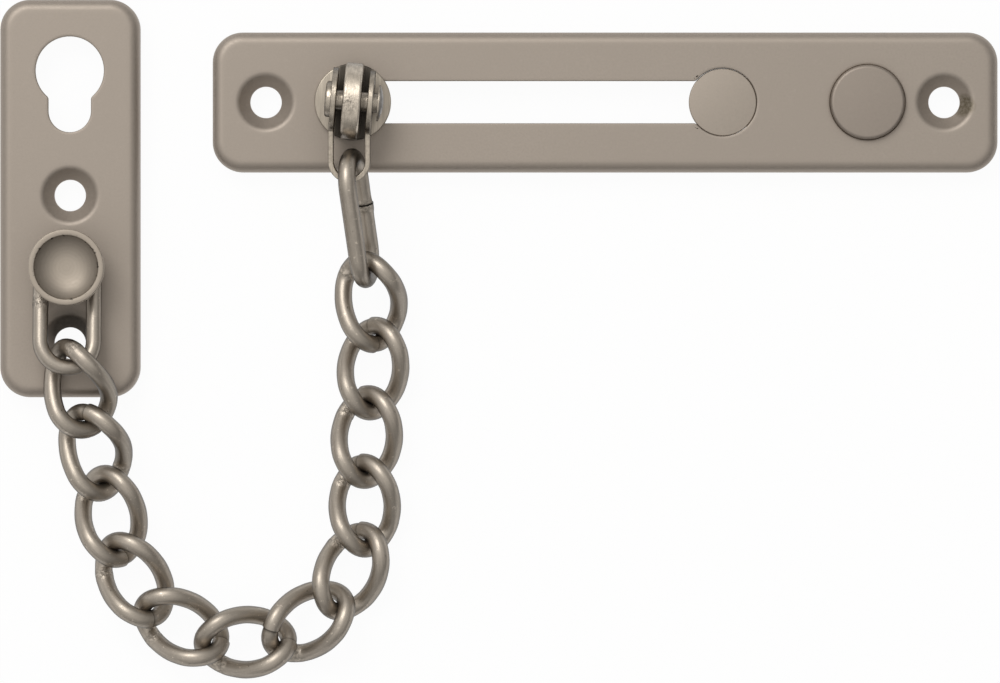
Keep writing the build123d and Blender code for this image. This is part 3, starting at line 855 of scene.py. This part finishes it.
def material_for(kind):
    """The finish of that kind, made once from the settings."""
    found = bpy.data.materials.get(kind)
    if found is not None:
        return found
    settings = bpy.context.scene.door_chain
    if kind == "door_plate_metal":
        centre = mm(DOOR_SCREW_X, 0, 0) + mm(*DOOR_STAIN)
        dark_spot = (centre, DOOR_STAIN_REACH * MM, STAIN_TONE, DOOR_STAIN_EVENNESS)
        return matt_plate(kind, settings.plate_colour, dark_spot)
    if kind == "keeper_plate_metal":
        # Painted shadow by the keeper's lower screw
        screw = seen_from_above(*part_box("keeper_plate"))[1] + mm(0, KEEPER_SCREWS_Y[1], 0)
        overlay = (screw + mm(*KEEPER_SHADOW), KEEPER_SHADOW_REACH * MM, SHADE_AND_NICK_TONE, KEEPER_SHADOW_EVENNESS)
        return matt_plate(kind, settings.plate_colour, overlay)
    if kind == "plug_metal":
        return matt_plate(kind, settings.plug_colour)
    if kind == "button_metal":
        return matt_plate(kind, settings.button_colour)
    if kind == "chain_metal":
        return satin_wire(kind, settings.chain_colour)
    if kind == "disc_metal":
        # The disc takes painted shadow beside the lug
        across = slider_matrix().to_3x3() @ Vector((1, 0, 0))
        return brushed(kind, settings.disc_colour, DISC_LINES, gap_shadow=(mm(SLIDER_X, 0, 0), across))
    if kind == "stud_metal":
        centre = seen_from_above(*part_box("stud"))[1]
        # The stud's dish takes painted shade towards its edge
        return matt_plate(kind, settings.stud_colour, dish=(centre, (STUD_HEAD_RADIUS - STUD_RIM) * MM))
    if kind == "spring_metal":
        return brushed(kind, settings.spring_colour, SPRING_LINES, 0.45)
    if kind == "lug_metal":
        top = mm(SLIDER_X, 0, PIN_HEIGHT + LUG_RADIUS)
        return scuffed(kind, settings.lug_colour, 0.6, top + mm(*RUBBED))
    return scuffed(kind, settings.bail_colour, 0.85)


def coated(obj, kind):
    obj.data.materials.clear()
    obj.data.materials.append(material_for(kind))


def linked(name, data):
    """A new object in the scene."""
    obj = bpy.data.objects.new(name, data)
    bpy.context.scene.collection.objects.link(obj)
    return obj


def meshed(name, bm):
    """A new object in the scene from a bmesh, which it frees."""
    mesh = bpy.data.meshes.new(name)
    bm.to_mesh(mesh)
    bm.free()
    return linked(name, mesh)


def finished(name, bm, place, kind, body, replaces, smooth=35.0):
    """Makes the placed bmesh a piece at the origin, gives it its finish, and has it ride on its body."""
    bmesh.ops.transform(bm, matrix=place, verts=bm.verts)
    for face in bm.faces:
        face.smooth = True
    obj = meshed(name, bm)
    obj.data.set_sharp_from_angle(angle=radians(smooth))
    coated(obj, kind)
    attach(obj, body)
    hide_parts(*replaces)
    return obj


def softened(obj, width, segments=3, angle=40.0):
    """Rounds a piece's sharp edges a little and keeps its flat faces flat."""
    bevel = obj.modifiers.new("edge_round", "BEVEL")
    bevel.width = width
    bevel.segments = segments
    bevel.limit_method = "ANGLE"
    bevel.angle_limit = radians(angle)
    bevel.use_clamp_overlap = False
    weighted = obj.modifiers.new("flat_faces", "WEIGHTED_NORMAL")
    weighted.keep_sharp = True
    weighted.weight = 100


def seen_from_above(low, high):
    """Size in millimetres and centre in metres of a box, both without its height."""
    middle, size = (low + high) / 2, high - low
    return (size.x / MM, size.y / MM), Vector((middle.x, middle.y, 0))


def in_metres(matrix):
    """The same turn, with a place given in millimetres."""
    moved = matrix.copy()
    moved.translation = matrix.translation * MM
    return moved


# Settings and operators


def colour_setting(name, of, default):
    return FloatVectorProperty(
        name=name, description=f"Colour of {of}", subtype="COLOR", size=3, min=0, max=1, default=default
    )


class DoorChainSettings(bpy.types.PropertyGroup):
    """Colours of the metals, and the sizes that only the finish needs"""

    plate_colour: colour_setting("Plates", "both pressed plates", (0.378, 0.33, 0.285))
    plug_colour: colour_setting("Plug", "the plug in the entry hole", (0.40, 0.35, 0.30))
    button_colour: colour_setting("Button", "the release button", (0.335, 0.29, 0.25))
    stud_colour: colour_setting("Stud", "the keeper plate's stud", (0.40, 0.35, 0.295))
    chain_colour: colour_setting("Chain", "every ring", (0.465, 0.413, 0.352))
    disc_colour: colour_setting("Slider disc", "the brushed disc", (0.43, 0.38, 0.315))
    lug_colour: colour_setting("Lug", "the bright lug", (0.74, 0.655, 0.55))
    bail_colour: colour_setting("Bail and pin", "the bail and its pin", (0.50, 0.44, 0.365))
    spring_colour: colour_setting("Spring", "the leaf spring", (0.30, 0.29, 0.28))
    wire_width: FloatProperty(
        name="Wire", description="Width of the chain's wire", unit="LENGTH", default=2.93 * MM, min=1.0 * MM,
        max=3.05 * MM, precision=5,
    )
    wire_segments: IntProperty(
        name="Wire segments", description="Sides of the round wire", default=28, min=12, max=64,
    )
    edge_round: FloatProperty(
        name="Edge round", description="Rounding of cut edges", unit="LENGTH", default=0.18 * MM, min=0.0,
        max=0.5 * MM, precision=5,
    )


class DOORCHAIN_OT_stage(bpy.types.Operator):
    """Lay the pale floor and set the soft lamp, the room and the camera above the plates"""

    bl_idname = "door_chain.stage"
    bl_label = "Stage"

    def execute(self, context):
        scene = context.scene
        scene.view_settings.view_transform = "Standard"
        make_floor()
        make_lamp()
        make_world(scene)
        make_camera(scene)
        return {"FINISHED"}


def make_floor():
    """A pale floor that looks white to the camera and in reflections, with only a faint shadow."""
    bm = bmesh.new()
    place = Matrix.Translation(FLOOR_PLACE)
    bmesh.ops.create_grid(bm, x_segments=8, y_segments=8, size=FLOOR_HALF_WIDTH, matrix=place)
    floor = meshed("floor", bm)
    material = bpy.data.materials.new("pale_floor")
    material.use_nodes = True
    tree = material.node_tree
    shader = tree.nodes["Principled BSDF"]
    shader.inputs["Base Color"].default_value = (0.9, 0.9, 0.9, 1.0)
    shader.inputs["Roughness"].default_value = 0.9
    shader.inputs["Specular IOR Level"].default_value = 0.1
    white = add_node(tree, "ShaderNodeEmission", {"Strength": 1.0})
    seen = {0: seen_rays(tree), 1: FLOOR_WHITE_SHARE}
    share = add_node(tree, "ShaderNodeMath", seen, operation="MULTIPLY").outputs[0]
    mix = add_node(tree, "ShaderNodeMixShader", {0: share, 1: shader.outputs[0], 2: white.outputs[0]})
    tree.links.new(mix.outputs[0], tree.nodes["Material Output"].inputs["Surface"])
    floor.data.materials.append(material)


def seen_rays(tree):
    """One for camera, glossy and transmission rays, which show the background."""
    rays = add_node(tree, "ShaderNodeLightPath").outputs
    total = rays["Is Camera Ray"]
    for kind in ("Is Glossy Ray", "Is Transmission Ray"):
        total = add_node(tree, "ShaderNodeMath", {0: total, 1: rays[kind]}, operation="MAXIMUM").outputs[0]
    return total


def make_lamp():
    lamp = bpy.data.lights.new("key_lamp", "AREA")
    lamp.shape = "DISK"
    lamp.size = KEY_WIDTH
    lamp.energy = KEY_WATTS
    lamp.color = (1.0, 0.985, 0.96)
    obj = linked("key_lamp", lamp)
    obj.location = KEY_PLACE
    aim = Vector((FLOOR_PLACE[0], FLOOR_PLACE[1], 0.0)) - Vector(KEY_PLACE)
    obj.rotation_euler = aim.to_track_quat("-Z", "Y").to_euler()


def make_world(scene):
    """A plain soft room, brighter towards one side, that the camera itself sees as white."""
    world = bpy.data.worlds.new("soft_room")
    scene.world = world
    world.use_nodes = True
    tree = world.node_tree
    background = tree.nodes["Background"]
    background.inputs["Color"].default_value = (1.0, 0.99, 0.97, 1.0)
    direction = add_node(tree, "ShaderNodeTexCoord").outputs["Generated"]
    side = {0: direction, 1: Vector(ROOM_BRIGHT_SIDE).normalized()}
    towards = add_node(tree, "ShaderNodeVectorMath", side, operation="DOT_PRODUCT").outputs["Value"]
    levels = {"Value": towards, "From Min": ROOM_DARK_FROM, "To Min": ROOM_DARKEST, "To Max": ROOM_BRIGHTEST}
    rise = add_node(tree, "ShaderNodeMapRange", levels)
    tree.links.new(rise.outputs["Result"], background.inputs["Strength"])
    white = add_node(tree, "ShaderNodeBackground", {"Color": (1.0, 1.0, 1.0, 1.0)})
    seen = add_node(tree, "ShaderNodeLightPath").outputs["Is Camera Ray"]
    mix = add_node(tree, "ShaderNodeMixShader", {0: seen, 1: background.outputs[0], 2: white.outputs[0]})
    tree.links.new(mix.outputs[0], tree.nodes["World Output"].inputs["Surface"])


def make_camera(scene):
    camera = bpy.data.cameras.new("camera")
    camera.sensor_width = 36.0
    camera.lens = camera.sensor_width * (VIEW_HEIGHT - PLATE_DEPTH * MM) / VIEW_WIDTH
    scene.camera = linked("camera", camera)
    scene.camera.location = (VIEW_CENTRE[0], VIEW_CENTRE[1], VIEW_HEIGHT)


class DOORCHAIN_OT_plates(bpy.types.Operator):
    """Press the door plate and the keeper plate with their slots, holes and countersinks"""

    bl_idname = "door_chain.plates"
    bl_label = "Plates"

    def execute(self, context):
        edge_round = context.scene.door_chain.edge_round
        screws = [mm(-DOOR_SCREW_X, 0, 0), mm(DOOR_SCREW_X, 0, 0)]
        slot = (mm(SLOT_END_X, 0, 0), mm(ENTRY_X, 0, 0), SLOT_HALF, ENTRY_RADIUS)
        button_hole = (mm(BUTTON_X, 0, 0), BUTTON_RADIUS + BUTTON_CLEARANCE)
        size, centre = seen_from_above(*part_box("door_plate"))
        bm = pressed_plate(size, centre, [slot], [button_hole], screws)
        self.pressed("door_plate_skin", bm, "door_plate_metal", "door_plate", ["door_plate"], edge_round)
        size, centre = seen_from_above(*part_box("keeper_plate"))
        screws = [centre + mm(0, y, 0) for y in KEEPER_SCREWS_Y]
        slot_end, hole = centre + mm(0, KEYHOLE_SLOT_Y, 0), centre + mm(0, KEYHOLE_Y, 0)
        keyhole = (slot_end, hole, KEYHOLE_SLOT_HALF, KEYHOLE_RADIUS)
        bm = pressed_plate(size, centre, [keyhole], [], screws)
        self.pressed("keeper_plate_skin", bm, "keeper_plate_metal", "keeper", ["keeper_plate"], edge_round)
        return {"FINISHED"}

    def pressed(self, name, bm, kind, body, replaces, edge_round):
        """A plate's finished skin, given the thickness of its sheet."""
        obj = finished(name, bm, Matrix.Identity(4), kind, body, replaces)
        sheet = obj.modifiers.new("sheet", "SOLIDIFY")
        sheet.thickness = SHEET * MM
        sheet.offset = -1.0
        sheet.use_even_offset = True
        softened(obj, edge_round)


class DOORCHAIN_OT_catch(bpy.types.Operator):
    """Turn the plug and the release button, and finish their leaf spring"""

    bl_idname = "door_chain.catch"
    bl_label = "Catch"

    def execute(self, context):
        radius = ENTRY_RADIUS - PLUG_CLEARANCE
        plug = [(0, PLUG_FRONT), (radius - PLUG_EDGE, PLUG_FRONT)]
        plug += arc_points(radius - PLUG_EDGE, PLUG_FRONT - PLUG_EDGE, PLUG_EDGE, 75, 0, 4)
        plug += [(radius, PLUG_BACK), (0, PLUG_BACK)]
        place = Matrix.Translation(mm(ENTRY_X, 0, 0))
        piece = turned(plug)
        finished("catch_plug_disc", piece, place, "plug_metal", "catch", ["catch_plug"])
        radius = BUTTON_RADIUS - BUTTON_EDGE
        button = [(0, BUTTON_FRONT), (radius, BUTTON_FRONT)]
        button += arc_points(radius, BUTTON_FRONT - BUTTON_EDGE, BUTTON_EDGE, 80, 0, 8)
        button += [(BUTTON_RADIUS, LIP_FRONT), (BUTTON_LIP, LIP_FRONT)]
        button += [(BUTTON_LIP, PLUG_BACK), (0, PLUG_BACK)]
        place = Matrix.Translation(mm(BUTTON_X, 0, 0))
        piece = turned(button)
        finished("catch_button_cap", piece, place, "button_metal", "catch", ["catch_button"])
        coated(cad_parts["catch_spring"], "spring_metal")
        return {"FINISHED"}


class DOORCHAIN_OT_slider(bpy.types.Operator):
    """Make the slider's brushed disc and its bright lug, and finish the rivet behind them"""

    bl_idname = "door_chain.slider"
    bl_label = "Slider"

    def execute(self, context):
        disc = [(0, DISC_FRONT), (DISC_RADIUS - DISC_EDGE, DISC_FRONT)]
        disc += arc_points(DISC_RADIUS - DISC_EDGE, DISC_FRONT - DISC_EDGE, DISC_EDGE, 75, 0, 4)
        disc += [(DISC_RADIUS, DISC_BACK), (0, DISC_BACK)]
        place = in_metres(slider_matrix())
        piece = turned(disc)
        finished("slider_disc_face", piece, place, "disc_metal", "slider_head", ["slider_disc"])
        piece = self.lug()
        lug = finished(
            "slider_lug_plate", piece, place, "lug_metal", "slider_head", ["slider_lug"]
        )
        softened(lug, LUG_EDGE * MM, 4)
        coated(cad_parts["slider_rivet"], "bail_metal")
        return {"FINISHED"}

    def lug(self):
        """A plate on edge: half round at the top, with sides that run down to the disc."""
        bm = bmesh.new()
        crown = [(LUG_RADIUS, 0.0)] + arc_points(0, 0, LUG_RADIUS, 3, 177, 58) + [(-LUG_RADIUS, 0.0)]
        foot = DISC_FRONT - PIN_HEIGHT - LUG_FOOT_DEPTH
        outline = [(-LUG_FOOT_RADIUS, foot), (LUG_FOOT_RADIUS, foot)] + crown
        verts = [bm.verts.new(mm(-LUG_THICKNESS / 2, y, PIN_HEIGHT + z)) for y, z in outline]
        bm.faces.new(verts)
        made = bmesh.ops.extrude_face_region(bm, geom=list(bm.faces), use_keep_orig=True)
        bmesh.ops.translate(bm, verts=verts_in(made["geom"]), vec=mm(LUG_THICKNESS, 0, 0))
        bmesh.ops.recalc_face_normals(bm, faces=bm.faces)
        return bm


class DOORCHAIN_OT_bail(bpy.types.Operator):
    """Bend the bail from strip and head its pin"""

    bl_idname = "door_chain.bail"
    bl_label = "Bail"

    def execute(self, context):
        place = in_metres(bail_matrix())
        bail = finished("bail_strip", self.strip(), place, "bail_metal", "bail", ["bail"])
        softened(bail, BAIL_EDGE * MM, 3, 35.0)
        place = slider_matrix() @ Matrix.Translation((0, 0, PIN_HEIGHT)) @ Matrix.Rotation(pi / 2, 4, "Y")
        piece, place = turned(self.pin(), PIN_STEPS), in_metres(place)
        finished("bail_pin_headed", piece, place, "bail_metal", "bail", ["bail_pin"])
        return {"FINISHED"}

    def pin(self):
        """Profile of the pin: a head with a dressed edge on the left, and a domed one on the right."""
        head, right = PIN_HEAD_RADIUS, PIN_LEFT + PIN_GRIP
        outside = PIN_LEFT - PIN_HEAD_THICKNESS
        profile = [(0, outside)] + [(head - inset, outside + drop) for inset, drop in PIN_DRESSED_EDGE]
        profile += [(head, PIN_LEFT), (PIN_RADIUS, PIN_LEFT), (PIN_RADIUS, right), (head, right)]
        for k in range(DOME_STEPS + 1):
            share = 1 - k / DOME_STEPS
            rise = (PIN_HEAD_THICKNESS - PIN_DOME_FOOT) * (1 - share**2)
            profile.append((head * share, right + PIN_DOME_FOOT + rise))
        return profile

    def half_height(self, distance):
        """Half the strip's width at a distance from the ear's tip: round ear, blend, then plain leg."""
        y = EAR_RADIUS - distance
        blend_y = -sqrt((EAR_RADIUS + EAR_BLEND) ** 2 - (STRIP_WIDTH / 2 + EAR_BLEND) ** 2)
        meet_y = blend_y * EAR_RADIUS / (EAR_RADIUS + EAR_BLEND)
        if y > meet_y:
            return max(sqrt(max(EAR_RADIUS**2 - y**2, 0)), EAR_TIP_HALF)
        if y > blend_y:
            return STRIP_WIDTH / 2 + EAR_BLEND - sqrt(max(EAR_BLEND**2 - (y - blend_y) ** 2, 0))
        return STRIP_WIDTH / 2

    def strip(self):
        """The bail's strip along its path: down one leg, round the loop and up the other leg."""
        leg_x, leg_direction, loop_centre = bail_loop()
        path = [(-leg_x, EAR_RADIUS * cos(pi * k / EAR_STEPS)) for k in range(EAR_STEPS + 1)]
        for k in range(LOOP_STEPS + 1):
            turn = pi - SWIVEL_REST + pi * k / LOOP_STEPS
            path.append((loop_centre.x + leg_x * cos(turn), loop_centre.y + leg_x * sin(turn)))
        path += [(leg_x, -EAR_RADIUS * cos(pi * k / EAR_STEPS)) for k in range(EAR_STEPS + 1)]
        points = [Vector((x, y, 0)) for x, y in path]
        lengths = [0.0]
        for before, after in zip(points, points[1:]):
            lengths.append(lengths[-1] + (after - before).length)
        stations = []
        for k, point in enumerate(points):
            tangent = (points[min(k + 1, len(points) - 1)] - points[max(k - 1, 0)]).normalized()
            half = self.half_height(min(lengths[k], lengths[-1] - lengths[k]))
            across = Vector((0, 0, 1))
            turn = Matrix((across.cross(tangent), across, -tangent)).transposed()
            section = turn @ Matrix.Diagonal((STRIP / 2, half, 1))
            stations.append((lengths[k] * MM, Matrix.Translation(point * MM) @ section.to_4x4()))
        corner = Matrix.Rotation(pi / 4, 4, "Z") @ Matrix.Scale(sqrt(2) * MM, 4)
        flat = [(along, matrix @ corner) for along, matrix in stations]
        bm = swept(flat, 4, 1.0, False)
        bmesh.ops.holes_fill(bm, edges=[edge for edge in bm.edges if edge.is_boundary])
        bmesh.ops.recalc_face_normals(bm, faces=bm.faces)
        return bm


class DOORCHAIN_OT_chain(bpy.types.Operator):
    """Draw every ring of the chain as round wire with its weld and seam"""

    bl_idname = "door_chain.chain"
    bl_label = "Chain"

    def execute(self, context):
        settings = context.scene.door_chain
        for name, ring_frame, sizes in laid_rings():
            wire_radius = settings.wire_width / MM / 2
            if name == "end_link":
                wire_radius -= (LINK_WIRE - END_LINK_WIRE) / 2
            stations, perimeter = ring_stations(name, sizes, wire_radius)
            bm = swept(stations, settings.wire_segments, wire_radius * MM, True)
            bmesh.ops.recalc_face_normals(bm, faces=bm.faces)
            bm.normal_update()
            weld, bead, seam = WELDS[name]
            roughen_weld(bm, from_share(weld, seam) * perimeter, perimeter, bead * LUMP_SIZE)
            if name == "long_link":
                ring_frame = ring_frame @ Matrix.Translation((0, LONG_LINK_LIFT, 0))
            place = in_metres(ring_frame)
            finished(f"{name}_wire", bm, place, "chain_metal", name, [name], 60.0)
        return {"FINISHED"}


class DOORCHAIN_OT_stud(bpy.types.Operator):
    """Turn the keeper plate's stud with its dished head"""

    bl_idname = "door_chain.stud"
    bl_label = "Stud"

    def execute(self, context):
        low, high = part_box("stud")
        centre = (low + high) / 2
        tail, front, radius = low.z / MM, high.z / MM, STUD_HEAD_RADIUS
        back, sheet_back = front - STUD_HEAD_DEPTH, PLATE_DEPTH - SHEET
        profile = [(0, tail), (STUD_TAIL_RADIUS, tail), (STUD_TAIL_RADIUS, sheet_back)]
        profile += [(STUD_SHANK_RADIUS, sheet_back), (STUD_SHANK_RADIUS, PLATE_DEPTH)]
        profile += [(STUD_NECK_RADIUS, PLATE_DEPTH), (STUD_NECK_RADIUS, back)]
        profile.append((radius - STUD_BACK_ROUND, back))
        profile += arc_points(radius - STUD_BACK_ROUND, back + STUD_BACK_ROUND, STUD_BACK_ROUND, -80, 0, 6)
        profile += arc_points(radius - STUD_FRONT_ROUND, front - STUD_FRONT_ROUND, STUD_FRONT_ROUND, 0, 82, 6)
        dish = radius - STUD_RIM
        profile += [(dish + width, front - drop) for width, drop in STUD_LIP]
        for k in range(DISH_STEPS + 1):
            share = 1 - k / DISH_STEPS
            profile.append((dish * share, front - STUD_DISH_EDGE - STUD_DISH * (1 - share**3)))
        place = Matrix.Translation((centre.x, centre.y, 0))
        piece = turned(profile)
        finished("stud_head", piece, place, "stud_metal", "keeper", ["stud"])
        return {"FINISHED"}


class DOORCHAIN_PT_panel(bpy.types.Panel):
    """Door chain tools in the sidebar"""

    bl_idname = "DOORCHAIN_PT_panel"
    bl_label = "Door Chain"
    bl_space_type = "VIEW_3D"
    bl_region_type = "UI"
    bl_category = "Door Chain"

    def draw(self, context):
        settings = context.scene.door_chain
        for name in settings.bl_rna.properties.keys():
            if name not in ("rna_type", "name"):
                self.layout.prop(settings, name)
        for operator in OPERATORS:
            self.layout.operator(operator.bl_idname)


OPERATORS = (
    DOORCHAIN_OT_stage,
    DOORCHAIN_OT_plates,
    DOORCHAIN_OT_catch,
    DOORCHAIN_OT_slider,
    DOORCHAIN_OT_bail,
    DOORCHAIN_OT_chain,
    DOORCHAIN_OT_stud,
)
CLASSES = (DoorChainSettings,) + OPERATORS + (DOORCHAIN_PT_panel,)


def register():
    for cls in CLASSES:
        bpy.utils.register_class(cls)
    bpy.types.Scene.door_chain = PointerProperty(type=DoorChainSettings)


def unregister():
    del bpy.types.Scene.door_chain
    for cls in reversed(CLASSES):
        bpy.utils.unregister_class(cls)


def main():
    register()
    bpy.ops.door_chain.stage()
    bpy.ops.door_chain.plates()
    bpy.ops.door_chain.catch()
    bpy.ops.door_chain.slider()
    bpy.ops.door_chain.bail()
    bpy.ops.door_chain.chain()
    bpy.ops.door_chain.stud()


if __name__ == "__main__":
    main()
